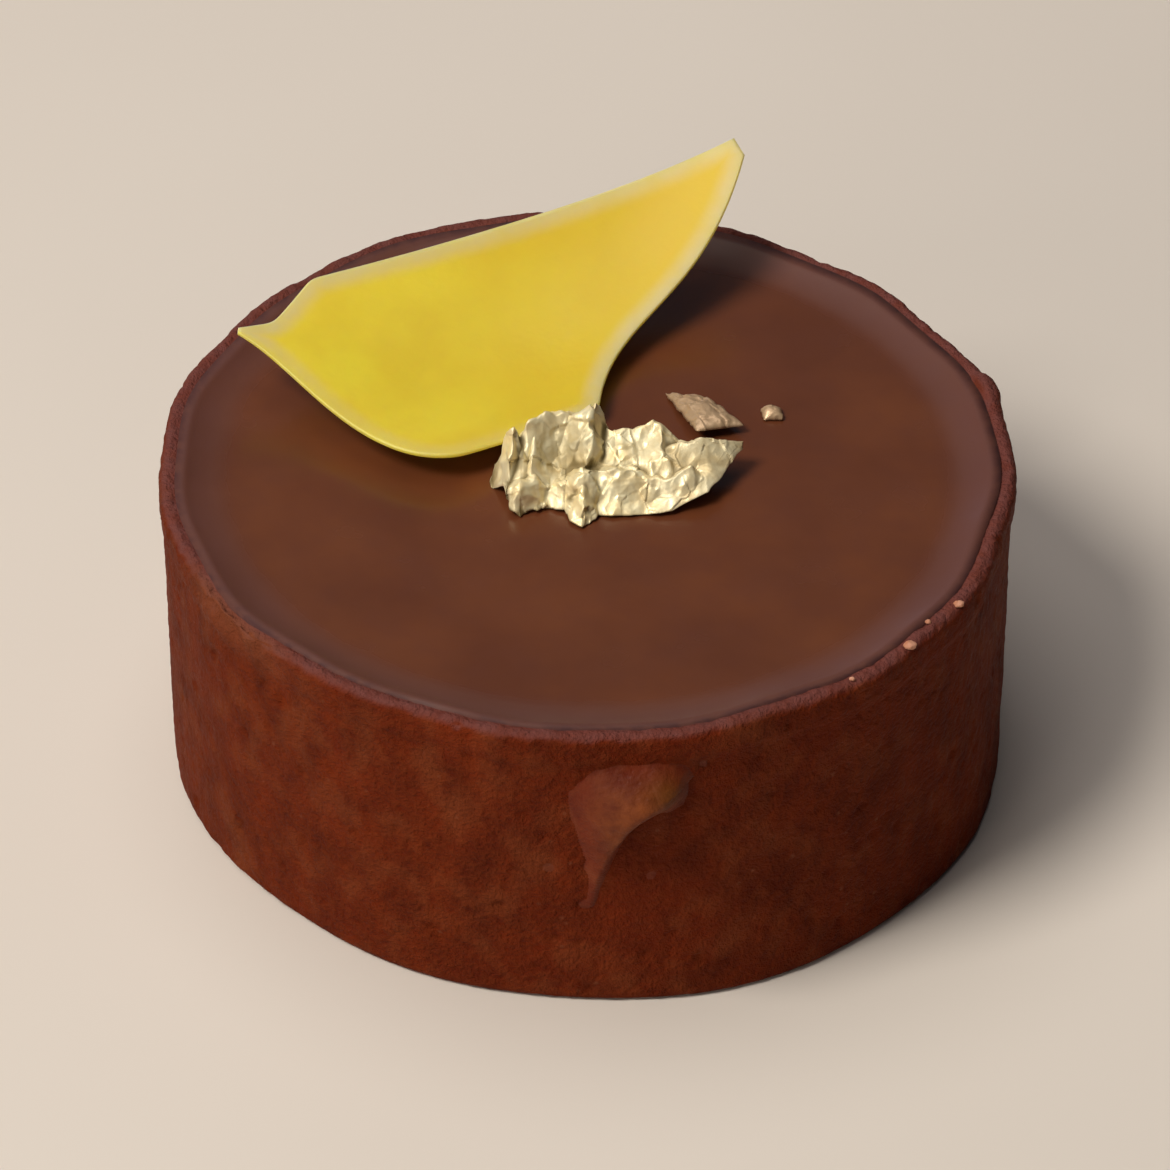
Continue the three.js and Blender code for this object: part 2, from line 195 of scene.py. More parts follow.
def lathe(name, profile, shape, attributes=None):
    """A closed body turned about the tart's axis. profile lists (radius, height) from the axis back
    to the axis, and shape(points, rows) gives the moved points."""
    inner = np.array(profile[1:-1], float)
    angle = np.linspace(0, 2 * math.pi, AROUND, endpoint=False)
    radius, height = inner[:, 0:1], inner[:, 1:2]
    grid = np.stack([radius * np.cos(angle), radius * np.sin(angle), np.repeat(height, AROUND, 1)], -1)
    grid = shape(grid)
    rows = len(inner)
    index = np.arange(rows * AROUND).reshape(rows, AROUND)
    turned = np.roll(index, -1, axis=1)
    faces = np.stack([index[:-1], turned[:-1], turned[1:], index[1:]], -1).reshape(-1, 4).tolist()
    first, last = rows * AROUND, rows * AROUND + 1
    faces += [[first, b, a] for a, b in zip(index[0], turned[0])]
    faces += [[last, a, b] for a, b in zip(index[-1], turned[-1])]
    ends = np.array([[0, 0, profile[0][1]], [0, 0, profile[-1][1]]], float)
    points = np.concatenate([grid.reshape(-1, 3), ends])
    extra = {key: np.append(values(grid).ravel(), [0, 0]) for key, values in (attributes or {}).items()}
    return mesh_object(name, points + AXIS, faces, extra)


def line(start, end, step):
    """Points from start, which is left out, to end, no further apart than step."""
    start, end = np.array(start, float), np.array(end, float)
    count = max(1, math.ceil(np.linalg.norm(end - start) / step))
    return [tuple(start + (end - start) * k / count) for k in range(1, count + 1)]


def arc(centre, radius, start, end, count):
    """Points round an arc, its start left out, with angles in degrees."""
    turns = np.radians(np.linspace(start, end, count + 1)[1:])
    return [(centre[0] + radius * math.cos(t), centre[1] + radius * math.sin(t)) for t in turns]


def axis_of_tart():
    """The axis that the uneven round is turned about, worked out from the shell's box."""
    angle = np.linspace(0, 2 * math.pi, 720)
    rings = []
    for radius, height in ((BASE_RADIUS, BASE_ROUNDING), (RIM_RADIUS, HEIGHT - RIM_ROUNDING)):
        out = radius + unevenness(angle, height)
        rings.append(np.stack([out * np.cos(angle), out * np.sin(angle)], 1))
    outline = np.concatenate(rings)
    middle = (outline.min(0) + outline.max(0)) / 2
    centre = (SHELL_LOW + SHELL_HIGH) / 2
    return np.array([centre.x - middle[0], centre.y - middle[1], 0.0])


AXIS = axis_of_tart()


def on_tart(points):
    """Points given from the tart's axis and the level of the glaze, in the row frame."""
    return np.asarray(points, float) + AXIS + [0, 0, GLAZE_LEVEL]


# ---------------------------------------------------------------- materials in general

def linear(red, green, blue):
    """A colour given as 0 to 255 sRGB, as Blender's linear values."""
    values = [v / 255 for v in (red, green, blue)]
    return tuple(v / 12.92 if v <= 0.04045 else ((v + 0.055) / 1.055) ** 2.4 for v in values) + (1.0,)


class Nodes:
    """Short ways to write a material's node tree."""

    def __init__(self, name, **settings):
        self.material = bpy.data.materials.new(name)
        self.material.use_nodes = True
        self.tree = self.material.node_tree
        self.shader = self.tree.nodes["Principled BSDF"]
        for key, value in settings.items():
            self.shader.inputs[key].default_value = value
        self.place = self.tree.nodes.new("ShaderNodeTexCoord").outputs["Object"]

    def link(self, source, target):
        self.tree.links.new(source, target)

    def put(self, value, socket):
        if hasattr(value, "is_linked"):
            self.link(value, socket)
        else:
            socket.default_value = value

    def node(self, kind, **inputs):
        made = self.tree.nodes.new(kind)
        for key, value in inputs.items():
            self.put(value, made.inputs[key.replace("_", " ")])
        return made

    def stretched(self, x, y, z):
        """The object's coordinates, scaled along each axis."""
        return self.node("ShaderNodeMapping", Vector=self.place, Scale=(x, y, z)).outputs["Vector"]

    def noise(self, size, detail=2.0, roughness=0.5, place=None):
        made = self.node("ShaderNodeTexNoise", Scale=1 / (size * MM), Detail=detail, Roughness=roughness)
        self.link(place or self.place, made.inputs["Vector"])
        return made.outputs["Fac"]

    def cells(self, size):
        made = self.node("ShaderNodeTexVoronoi", Scale=1 / (size * MM))
        self.link(self.place, made.inputs["Vector"])
        return made

    def attribute(self, name):
        made = self.tree.nodes.new("ShaderNodeAttribute")
        made.attribute_name = name
        return made.outputs["Fac"]

    def ranged(self, value, low, high, to_low=0.0, to_high=1.0):
        """value, moved from low..high to to_low..to_high and kept inside it."""
        made = self.tree.nodes.new("ShaderNodeMapRange")
        for socket, number in zip(made.inputs[:5], (value, low, high, to_low, to_high)):
            self.put(number, socket)
        return made.outputs["Result"]

    def math(self, operation, a, b=0.0):
        made = self.tree.nodes.new("ShaderNodeMath")
        made.operation = operation
        self.put(a, made.inputs[0])
        self.put(b, made.inputs[1])
        return made.outputs["Value"]

    def mix(self, share, a, b):
        made = self.tree.nodes.new("ShaderNodeMix")
        made.data_type = "RGBA"
        for socket, value in ((made.inputs[0], share), (made.inputs[6], a), (made.inputs[7], b)):
            self.put(value, socket)
        return made.outputs[2]

    def finish(self, colour, roughness, height=None, depth=0.05):
        """Links colour, roughness and, where given, a bump of that depth in mm."""
        self.link(colour, self.shader.inputs["Base Color"])
        self.link(roughness, self.shader.inputs["Roughness"])
        if height is not None:
            bump = self.node("ShaderNodeBump", Height=height, Strength=1.0, Distance=depth * MM)
            self.link(bump.outputs["Normal"], self.shader.inputs["Normal"])
        return self.material


def dress(piece, material, slot, *solids):
    """Gives a piece its material, hangs it under the root body, and hides the solids it stands for."""
    piece.data.materials.append(material)
    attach(piece, "root")
    if solids:
        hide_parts(*solids)
    return piece


# ---------------------------------------------------------------- cocoa crust

CRUST_DARK = linear(79, 23, 6)
CRUST_MID = linear(105, 36, 9)
CRUST_RED = linear(109, 34, 9)
CRUST_LIGHT = linear(120, 59, 31)
# The rim's up-facing top is paler and greyer: partly its own bloom, partly a painted sheen of sky light.
CRUST_RIM_BLOOM_AND_SHEEN = linear(110, 64, 58)
CRUST_BROKEN = linear(122, 70, 46)
CRUST_CRUMB = linear(140, 92, 68)

CRUST_BLOTCH = 2.4
CRUST_GRAIN = 0.45
RIM_SLOPE = 0.3  # the top of the rim falls this much towards the filling
RIM_INSIDE_SHOWN = 1.6  # depth of the inner wall that is meshed finely
CRUST_WAVES = ((7.0, 1, 0.1), (2.6, 1, 0.05), (0.8, 2, 0.06))  # size, octaves and depth
CRUST_PITS = ((2.2, 0.2, 3), (1.3, 0.35, 5))  # spacing, how rare they are, and seed
PIT_EDGE, PIT_BOTTOM = 0.32, 0.1  # distances from a pit's middle, as shares of the spacing
PIT_DEPTH, PIT_DEPTH_SPREAD = 0.05, 0.08
LINE_SIZE, LINE_STRETCH, LINE_DEPTH = 1.1, 9.0, 0.03  # faint upright marks on the side
RIM_CRUMB_SIZE, RIM_CRUMB_DEPTH = 1.3, 0.07


def shell_profile():
    """The shell in section, with fine steps where it shows."""
    lip_under = HEIGHT - LIP_DEPTH
    rim_inside = RIM_RADIUS - RIM_WIDTH
    inside = BASE_RADIUS - WALL_AT_FLOOR
    flat = BASE_RADIUS - BASE_ROUNDING
    points = [(0, 0), (flat / 2, 0), (flat, 0)]
    points += arc((flat, BASE_ROUNDING), BASE_ROUNDING, -90, 0, 4)
    points += line(points[-1], (RIM_RADIUS - LIP_PROUD, lip_under), SIDE_STEP)
    points += line(points[-1], (RIM_RADIUS, lip_under + LIP_DEPTH / 3), SIDE_STEP)
    points += line(points[-1], (RIM_RADIUS, HEIGHT - RIM_ROUNDING), SIDE_STEP)
    points += arc((RIM_RADIUS - RIM_ROUNDING, HEIGHT - RIM_ROUNDING), RIM_ROUNDING, 0, 90, 5)
    points += line(points[-1], (rim_inside + 0.2, HEIGHT - RIM_SLOPE), SIDE_STEP)
    points += line(points[-1], (rim_inside, HEIGHT - RIM_INSIDE_SHOWN), SIDE_STEP)
    points += [(inside, FLOOR + CORNER_INSIDE), (inside - CORNER_INSIDE, FLOOR), (0, FLOOR)]
    return points


def move_out(grid):
    """Moves the points of a round piece out or in by its unevenness, which fades to the axis."""
    radius = np.hypot(grid[..., 0], grid[..., 1])
    angle = np.arctan2(grid[..., 1], grid[..., 0])
    share = smoothstep(radius, BASE_RADIUS / 2, BASE_RADIUS * 0.85)
    scale = 1 + share * unevenness(angle, grid[..., 2]) / radius
    grid[..., :2] *= scale[..., None]
    return grid


def crust_relief(points):
    """How far the crust stands out at each point: waves, fine crumb, small pits and drawn lines."""
    relief = np.zeros(len(points))
    for seed, (size, octaves, depth) in enumerate(CRUST_WAVES):
        relief += depth * noise_at(points, size, octaves, seed)
    for size, rare, seed in CRUST_PITS:
        near, chance = cells_at(points, size, seed)
        depth = PIT_DEPTH + PIT_DEPTH_SPREAD * size * np.abs(chance)
        relief -= (chance > rare) * smoothstep(near, PIT_EDGE, PIT_BOTTOM) * depth
    run = np.arctan2(points[:, 1], points[:, 0]) * BASE_RADIUS
    drawn = np.stack([run, points[:, 2] / LINE_STRETCH, np.zeros(len(points))], 1)
    return relief + LINE_DEPTH * noise_at(drawn, LINE_SIZE, seed=4)


def chipped(angle, radius, height):
    """How much of the rim's outer edge has broken away, from 0 to 1: one scoop at the front left."""
    from_chip = (np.degrees(angle) - CHIP_BEARING) / CHIP_HALF_WIDTH
    outside = smoothstep(radius, RIM_RADIUS - 1.3, RIM_RADIUS - 0.6)
    return np.exp(-from_chip ** 4) * outside * smoothstep(height, HEIGHT - CHIP_REACH, HEIGHT)


def crust_shape(grid):
    """The uneven round with its relief, and a rim that is crumbled and chipped."""
    grid = move_out(grid)
    normal = round_normals(grid)
    flat = grid.reshape(-1, 3)
    radius = np.hypot(flat[:, 0], flat[:, 1])
    angle = np.arctan2(flat[:, 1], flat[:, 0])
    height = flat[:, 2]
    shown = (radius > RIM_RADIUS - RIM_WIDTH - 1) & (height > 0)
    relief = np.zeros(len(flat))
    relief[shown] = crust_relief(flat[shown])
    at_rim = smoothstep(height, HEIGHT - 1.4, HEIGHT - 0.2)
    top = shown & (at_rim > 0)
    relief[top] += at_rim[top] * RIM_CRUMB_DEPTH * noise_at(flat[top], RIM_CRUMB_SIZE, 2, seed=6)
    gone = chipped(angle, radius, height) * shown
    ragged = np.zeros(len(flat))
    ragged[gone > 0.01] = noise_at(flat[gone > 0.01], 1.2, 2, seed=7)
    relief = relief * smoothstep(height, 0.0, 0.5) - gone * CHIP_DEPTH * (0.7 + 0.6 * ragged)
    from_knob = (np.degrees(angle) - KNOB_BEARING) / KNOB_HALF_WIDTH
    outside = smoothstep(radius, RIM_RADIUS - 1, RIM_RADIUS - 0.5)
    outside *= smoothstep(height, HEIGHT - KNOB_REACH, HEIGHT - 1)
    relief += KNOB_PROUD * np.exp(-from_knob ** 2) * outside
    moved = flat + normal.reshape(-1, 3) * relief[:, None]
    low = smoothstep(height, HEIGHT - LIP_DEPTH, HEIGHT) * shown
    moved[:, 2] -= low * np.abs(waves(RIM_DIPS, angle))
    moved[:, 2] = np.maximum(moved[:, 2], 0)
    return moved.reshape(grid.shape)


def crust_colour(m):
    """The crust's mottled colour and its fine grain, at any point of the tart's wall."""
    tone = m.ranged(m.noise(8.0, 2.0, 0.5), 0.38, 0.62)
    blotch = m.ranged(m.noise(CRUST_BLOTCH, 2.0, 0.55, m.stretched(1, 1, 0.7)), 0.36, 0.62)
    streak = m.ranged(m.noise(1.5, 2.0, 0.5, m.stretched(1, 1, 0.14)), 0.35, 0.65)
    grain = m.ranged(m.noise(CRUST_GRAIN, 3.0, 0.65), 0.32, 0.68)
    colour = m.mix(blotch, CRUST_DARK, CRUST_MID)
    colour = m.mix(m.math("MULTIPLY", tone, 0.4), colour, CRUST_RED)
    colour = m.mix(m.math("MULTIPLY", streak, 0.35), colour, CRUST_DARK)
    patch = m.ranged(m.noise(2.8, 2.0, 0.55, m.stretched(1, 1, 0.8)), 0.48, 0.72)
    colour = m.mix(m.math("MULTIPLY", patch, 0.55), colour, CRUST_LIGHT)
    colour = m.mix(m.math("MULTIPLY", grain, 0.32), colour, CRUST_LIGHT)
    return colour, grain


def crust_material():
    m = Nodes("cocoa_crust", **{"Specular IOR Level": 0.04})
    colour, grain = crust_colour(m)
    crumb = m.cells(1.9)
    spot = m.math("MULTIPLY", m.ranged(crumb.outputs["Distance"], 0.12, 0.03),
                  m.math("GREATER_THAN", crumb.outputs["Color"], 0.55))
    colour = m.mix(m.math("MULTIPLY", spot, 0.3), colour, CRUST_CRUMB)
    # Patches of the rim's bloom and painted sky sheen on its up-facing top.
    bloom_and_sheen_patches = m.ranged(m.noise(1.3, 3.0, 0.6), 0.35, 0.6, 0.6, 0.95)
    colour = m.mix(m.math("MULTIPLY", m.attribute("rim"), bloom_and_sheen_patches), colour, CRUST_RIM_BLOOM_AND_SHEEN)
    colour = m.mix(m.math("MULTIPLY", m.attribute("broken"), 0.6), colour, CRUST_BROKEN)
    roughness = m.ranged(grain, 0, 1, 0.5, 0.75)
    height = m.math("ADD", grain, m.math("MULTIPLY", m.noise(0.2, 2.0), 0.5))
    return m.finish(colour, roughness, height, 0.12)


def rim_share(grid):
    """1 on the top of the rim and inside it, 0 on the side: where the rim's bloom and a painted sheen of
    sky light go.
    """
    facing_up = round_normals(grid)[..., 2]
    radius = np.hypot(grid[..., 0], grid[..., 1])
    inside = 1 - smoothstep(radius, RIM_RADIUS - RIM_WIDTH, RIM_RADIUS - RIM_WIDTH + 0.4)
    share = np.maximum(smoothstep(facing_up, 0.4, 0.92), inside)
    return share * smoothstep(grid[..., 2], HEIGHT - 2.5, HEIGHT - 1.5)


def broken_share(grid):
    x, y, height = np.moveaxis(grid, -1, 0)
    return chipped(np.arctan2(y, x), np.hypot(x, y), height)


shell = lathe("crust", shell_profile(), crust_shape, {"rim": rim_share, "broken": broken_share})
dress(shell, crust_material(), "cocoa_crust", "tart_shell")


# ---------------------------------------------------------------- chocolate filling

GLAZE_LIGHT = linear(104, 57, 32)
GLAZE_DARK = linear(92, 49, 29)
GLAZE_SMUDGE = linear(91, 50, 36)
# The climbing edge of the filling is greyer and bluer: partly the chocolate's bloom, partly a painted
# reflection of the sky.
GLAZE_EDGE = linear(92, 53, 45)
# Painted shade: a dark line where the filling meets the rim.
GLAZE_SEAM_SHADE = linear(68, 34, 32)
GLAZE_OVERLAP = 0.75  # how far the filling has run up over the rim
GLAZE_EDGE_DEPTH = 1.4  # of the filling's outer edge, down inside the crust
GLAZE_STEP = 0.6  # width of a quad on its flat
GLAZE_WAVES = ((9.0, 0.035, 8), (3.0, 0.012, 9))  # size, depth and seed


def filling_profile():
    """The filling in section, from the middle of its top round to the middle of its underside."""
    edge = RIM_RADIUS - RIM_WIDTH
    foot = BASE_RADIUS - WALL_AT_FLOOR
    points = [(0, GLAZE_LEVEL)]
    points += line((0.5, GLAZE_LEVEL), (edge - MENISCUS_WIDTH, GLAZE_LEVEL), GLAZE_STEP)
    climb = np.linspace(0, 1, 19)[1:]
    points += [(edge - MENISCUS_WIDTH * (1 - s), GLAZE_LEVEL + MENISCUS_RISE * s ** 2.2) for s in climb]
    points += [(edge + GLAZE_OVERLAP, HEIGHT), (edge + GLAZE_OVERLAP, HEIGHT - GLAZE_EDGE_DEPTH)]
    points += [(foot + 0.2, FLOOR + CORNER_INSIDE), (foot - CORNER_INSIDE, FLOOR), (0, FLOOR)]
    return points[::-1]


def glaze_shape(grid):
    grid = move_out(grid)
    flat = grid.reshape(-1, 3)
    top = flat[:, 2] > GLAZE_LEVEL - 0.01
    angle = np.arctan2(flat[top, 1], flat[top, 0])
    low = smoothstep(flat[top, 2], GLAZE_LEVEL, HEIGHT)
    flat[top, 2] -= low * np.abs(waves(RIM_DIPS, angle))
    flat[top, 2] += sum(depth * noise_at(flat[top], size, seed=seed) for size, depth, seed in GLAZE_WAVES)
    return flat.reshape(grid.shape)


# 1 on the climbing edge of the filling, where the bloom and the painted sky reflection go.
def glaze_sheen_band(grid):
    radius = np.hypot(grid[..., 0], grid[..., 1])
    return smoothstep(radius, RIM_RADIUS - RIM_WIDTH - MENISCUS_WIDTH - 0.6, RIM_RADIUS - RIM_WIDTH - 0.6)


def glaze_seam_shade(grid):
    """1 on the thin edge of the filling that lies on the rim, where a painted dark line of shade goes."""
    radius = np.hypot(grid[..., 0], grid[..., 1])
    return smoothstep(radius, RIM_RADIUS - RIM_WIDTH + 0.1, RIM_RADIUS - RIM_WIDTH + GLAZE_OVERLAP)


def glaze_material():
    m = Nodes("chocolate", **{"Specular IOR Level": 0.38})
    cloud = m.ranged(m.noise(11.0, 3.0, 0.55), 0.35, 0.65)
    smudge = m.ranged(m.noise(2.6, 3.0, 0.6), 0.4, 0.7)
    colour = m.mix(cloud, GLAZE_DARK, GLAZE_LIGHT)
    colour = m.mix(m.math("MULTIPLY", smudge, 0.3), colour, GLAZE_SMUDGE)
    # Bloom and painted sky reflection on the climbing edge.
    painted_sheen_band = m.math("MULTIPLY", m.attribute("edge"), m.ranged(smudge, 0, 1, 0.75, 0.5))
    colour = m.mix(painted_sheen_band, colour, GLAZE_EDGE)
    # Painted shade: a dark line where the filling meets the rim.
    shaded_seam = m.math("MULTIPLY", m.attribute("shaded_seam"), m.ranged(m.noise(1.1, 3.0), 0.4, 0.6, 0.35, 1.0))
    colour = m.mix(shaded_seam, colour, GLAZE_SEAM_SHADE)
    roughness = m.ranged(m.noise(4.0, 3.0), 0.3, 0.7, 0.2, 0.28)
    roughness = m.math("ADD", roughness, m.ranged(m.attribute("edge"), 0.1, 0.7, 0.0, 0.25))
    roughness = m.math("ADD", roughness, m.math("MULTIPLY", m.attribute("shaded_seam"), 0.3))
    return m.finish(colour, roughness, m.noise(0.8, 3.0), 0.012)


filling = lathe("filling", filling_profile(), glaze_shape, {"edge": glaze_sheen_band, "shaded_seam": glaze_seam_shade})
dress(filling, glaze_material(), "chocolate", "chocolate_filling")


# ---------------------------------------------------------------- yellow shard

SHARD_THICKNESS = 0.9
SHARD_EDGE_THICKNESS = 0.28
SHARD_BEND = (  # mm above the glaze for each power of x (rows) and y, both in centimetres
    (2.257, -1.334, -0.773, 1.565, -0.274),
    (0.4, 1.405, -1.259, 0.158),
    (0.387, 1.83, -0.597),
    (0.0, 0.275),
)
LEFT_TIP = (-24.7, 9.1, 5.3)
LEFT_TIP_FRONT = (-24.7, 8.7, 5.2)
NOTCH = (-22.3, 10.2, 5.0)
BACK_CORNER = (-19.8, 14.5, 5.6)
TOP_BEND = (-5.1, 21.7, 5.0)
HIGH_TIP = (10.2, 27.3, 9.3)
HIGH_TIP_RIGHT = (10.9, 25.9, 8.9)
RIGHT_BENDS = ((1.0, 16.0, 1.8), (8.1, 14.7, 3.5))
RIGHT_CORNER = (0.8, 5.3, 1.6)
FRONT_CORNER = (-8.7, -1.1, 2.4)
LOWER_BENDS = ((-19.8, 6.6, 3.5), (-14.6, -3.4, 2.5))
SHARD_GRID = (170, 64)
SHARD_CORNER_WEAR = 4  # points of its edges over which a corner is rounded
SHARD_WOBBLE = 0.05

# The shard's yellow is painted lighter at its left and darker at its right: painted light and painted shade
# across it.
SHARD_LEFT_PAINTED_LIGHT = linear(246, 214, 58)
SHARD_RIGHT_PAINTED_SHADE = linear(222, 189, 44)
SHARD_WARM = linear(224, 187, 44)
SHARD_PALE = linear(224, 198, 130)


def softened(curve, reach):
    """A curve with its corners rounded over so many of its points, and its ends kept."""
    window = np.hanning(2 * reach + 3)[1:-1]
    window /= window.sum()
    before = 2 * curve[0] - curve[reach:0:-1]
    after = 2 * curve[-1] - curve[-2:-reach - 2:-1]
    padded = np.concatenate([before, curve, after])
    return np.stack([np.convolve(padded[:, k], window, "valid") for k in range(3)], 1)


def bent(x, y):
    """Height of the shard's dished top over the glaze."""
    return sum(
        term * (x / 10) ** i * (y / 10) ** j
        for i, row in enumerate(SHARD_BEND)
        for j, term in enumerate(row)
    )


def shard_top():
    """The shard's top as a grid between its two long edges, bent to a shallow dish."""
    u = np.linspace(0, 1, SHARD_GRID[0])
    v = np.linspace(0, 1, SHARD_GRID[1])
    back = joined_curve(u, (LEFT_TIP, NOTCH), (NOTCH, BACK_CORNER), (BACK_CORNER, TOP_BEND, HIGH_TIP))
    front = joined_curve(
        u,
        (LEFT_TIP_FRONT, *LOWER_BENDS, FRONT_CORNER),
        (FRONT_CORNER, RIGHT_CORNER),
        (RIGHT_CORNER, *RIGHT_BENDS, HIGH_TIP_RIGHT),
    )
    back, front = (softened(edge, SHARD_CORNER_WEAR) for edge in (back, front))
    grid = front[:, None] + (back - front)[:, None] * v[None, :, None]
    grid[..., 2] = bent(grid[..., 0], grid[..., 1])
    return grid


def edge_distance(grid):
    """Distance of each point of a grid to the grid's outline."""
    outline = np.concatenate([grid[0], grid[-1], grid[:, 0], grid[:, -1]])
    flat = grid.reshape(-1, 3)
    nearest = [np.linalg.norm(flat - p, axis=1) for p in outline]
    return np.min(nearest, axis=0).reshape(grid.shape[:2])


def yellow_shard():
    top = shard_top()
    distance = edge_distance(top)
    normal = grid_normals(top)
    normal *= np.sign(normal[..., 2:3])
    wobble = SHARD_WOBBLE * noise_at(top.reshape(-1, 3), 5.0, seed=12).reshape(distance.shape)
    top[..., 2] += wobble * smoothstep(distance, 0, 2)
    body = np.sqrt(smoothstep(distance, 0, 1.6))
    thickness = SHARD_EDGE_THICKNESS + (SHARD_THICKNESS - SHARD_EDGE_THICKNESS) * body
    bottom = top - normal * thickness[..., None]
    across = np.linspace(0, 1, SHARD_GRID[1])
    lower_left = (1 - smoothstep(across, 0.0, 0.5)) * (1 - smoothstep(top[..., 0], -6.0, 0.0))
    pale = (1 - smoothstep(distance, 0.4, 1.8)) * (1 - 0.6 * lower_left)
    # Share of painted shade across the shard, from painted light at its left to painted shade at its right.
    right = smoothstep(top[..., 0], -18.0, 6.0)
    return joined("shard", [slab(on_tart(top), on_tart(bottom), {"pale": pale, "right": right})])


def shard_material():
    m = Nodes("yellow_chocolate", **{"Subsurface Weight": 0.8, "Subsurface Scale": 2.5 * MM,
                                     "Subsurface Radius": (1.0, 0.8, 0.25), "Specular IOR Level": 0.4})
    cloud = m.ranged(m.noise(6.0, 3.0, 0.5), 0.35, 0.65)
    # Painted light at the left, painted shade at the right.
    colour = m.mix(m.attribute("right"), SHARD_LEFT_PAINTED_LIGHT, SHARD_RIGHT_PAINTED_SHADE)
    colour = m.mix(m.math("MULTIPLY", cloud, 0.5), colour, SHARD_WARM)
    edge = m.math("MULTIPLY", m.attribute("pale"), m.ranged(m.noise(1.8, 2.0), 0.3, 0.6, 0.75, 1.0))
    colour = m.mix(edge, colour, SHARD_PALE)
    roughness = m.ranged(m.noise(2.5, 2.0), 0.3, 0.7, 0.38, 0.5)
    return m.finish(colour, roughness, m.noise(0.5, 3.0), 0.012)


dress(yellow_shard(), shard_material(), "yellow_chocolate", "yellow_shard")


# ---------------------------------------------------------------- gold leaf

LEAF_THICKNESS = 0.05
LEAF_CRUMPLE = 0.3  # depth of its small creases
LEAF_CRUMPLE_LESS = 0.14  # how much shallower they are at its right
LEAF_CREASE = 1.7  # size of a crease
# Its front and back edges, in mm from the axis
LEAF_FRONT = (
    (-6.7, -2.0), (-5.7, -3.4), (-5.4, -5.0), (-4.6, -5.5), (-3.2, -4.4), (-1.4, -4.5), (-0.9, -5.8),
    (-0.2, -6.4), (0.4, -6.0), (0.8, -5.1), (2.4, -5.1), (6.0, -4.8), (8.4, -3.6), (10.9, 0.5),
)
LEAF_BACK = (
    (-6.7, -1.4), (-5.8, 0.4), (-3.0, 2.0), (-0.6, 2.8), (0.5, 3.8), (1.7, 2.7),
    (3.2, 2.7), (4.7, 3.6), (6.4, 2.4), (8.0, 1.2), (10.9, 0.9),
)
LEAF_CREST = (3.4, 4.6, 2.8, 0.4)  # its height along the crest, from left to right
LEAF_CREST_AT = 0.72
LEAF_LEFT_RISE = 1.2
LEAF_TIP_LIFT = 1.8  # the right tip stands off the glaze
LEAF_DENT = (-1.7, -1.3, 2.0, 1.5, 0.9)  # middle, half lengths along x and y, and depth
LEAF_GRID = (300, 150)

# Its folds: where each ridge starts and ends, how high it stands, and how steeply it falls to the
# left and to the right.
LEAF_FOLDS = (
    ((-5.7, -3.4), (-5.0, 0.2), 1.0, 1.0, 2.2),
    ((-3.8, -2.9), (-3.2, 1.2), 0.7, 1.6, 0.5),
    ((-4.6, 0.6), (-0.6, 1.5), 2.0, 1.4, 0.9),
    ((0.1, -1.2), (0.5, 3.4), 1.9, 0.8, 2.0),
    ((2.9, -0.8), (2.9, 2.4), 0.4, 0.5, 1.0),
    ((5.4, -1.6), (4.4, 3.0), 1.1, 0.4, 1.0),
    ((4.4, -1.8), (9.0, 0.9), 0.8, 1.0, 0.4),
    ((8.4, -0.4), (10.6, 1.9), 0.5, 0.6, 0.4),
    ((-1.8, -3.4), (7.4, -2.7), 0.7, 0.8, 0.7),
    ((-5.1, -4.5), (-3.4, -3.8), 0.7, 0.7, 0.9),
    ((-0.5, -3.4), (-0.2, -6.1), 0.35, 0.5, 0.6),
)

GOLD_BRIGHT = linear(252, 240, 196)
GOLD_DEEP = linear(240, 217, 162)
# Painted shade for the leaf's valleys and its dented front.
GOLD_HOLLOW_SHADE = linear(118, 100, 56)
# A duller tan for the flakes and the leaf's right: partly a duller gold, partly painted shade.
GOLD_DULL_AND_SHADE = linear(184, 150, 116)


def ridges(points, size, octaves, seed):
    """Sharp-backed folds from 0 to 1."""
    total = np.zeros(len(points))
    weight = 1.0
    for octave in range(octaves):
        total += weight * (1 - np.abs(noise_at(points, size / 2 ** octave, seed=seed + octave)) * 2)
        weight /= 2
    return total / 2


def facets(points, size, seed):
    """Small flat cells, each tilted its own way, as heights in cells."""
    shift = Vector((seed * 11.9, seed * 3.3, seed * 7.7))
    heights = []
    for p in points:
        place = Vector(p) / size + shift
        centre = noise.voronoi(place)[1][0]
        tilt = noise.cell_vector(centre * 5.3) - Vector((0.5, 0.5, 0.5))
        heights.append((place - centre).dot(tilt))
    return np.array(heights)


def foil(grid, crumple, size, seed, **shades):
    """A thin crumpled sheet laid along a grid, with its painted shade in the valleys and its duller, partly
    shaded tan given from 0 to 1.
    """
    normal = grid_normals(grid)
    flat = grid.reshape(-1, 3)
    folds = (ridges(flat, size, 2, seed) - 0.5 + 1.2 * facets(flat, size, seed)).reshape(grid.shape[:2])
    top = grid + normal * (crumple * folds)[..., None]
    top[..., 2] = np.maximum(top[..., 2], 0.02)
    levels = {key: shades.get(key, 0.0) + np.zeros(grid.shape[:2]) for key in ("hollow", "dull")}
    return slab(on_tart(top + normal * LEAF_THICKNESS), on_tart(top), levels)


def fold_height(places, start, end, lift, left_slope, right_slope):
    """How far a roof-like ridge between two points stands out at each place."""
    run = np.subtract(end, start)
    length = np.linalg.norm(run)
    run = run / length
    offset = places - start
    along = offset @ run
    aside = run[0] * offset[..., 1] - run[1] * offset[..., 0]
    beyond = np.maximum(np.maximum(-along, along - length), 0)
    slope = np.where(aside > 0, left_slope, right_slope)
    return np.maximum(lift - slope * np.abs(aside) - beyond, 0)


def leaf_dent(places):
    """1 in the middle of the hollow in the leaf's front, 0 outside it."""
    middle_x, middle_y, half_x, half_y, _ = LEAF_DENT
    away = ((places[..., 0] - middle_x) / half_x) ** 2 + ((places[..., 1] - middle_y) / half_y) ** 2
    return np.exp(-away)


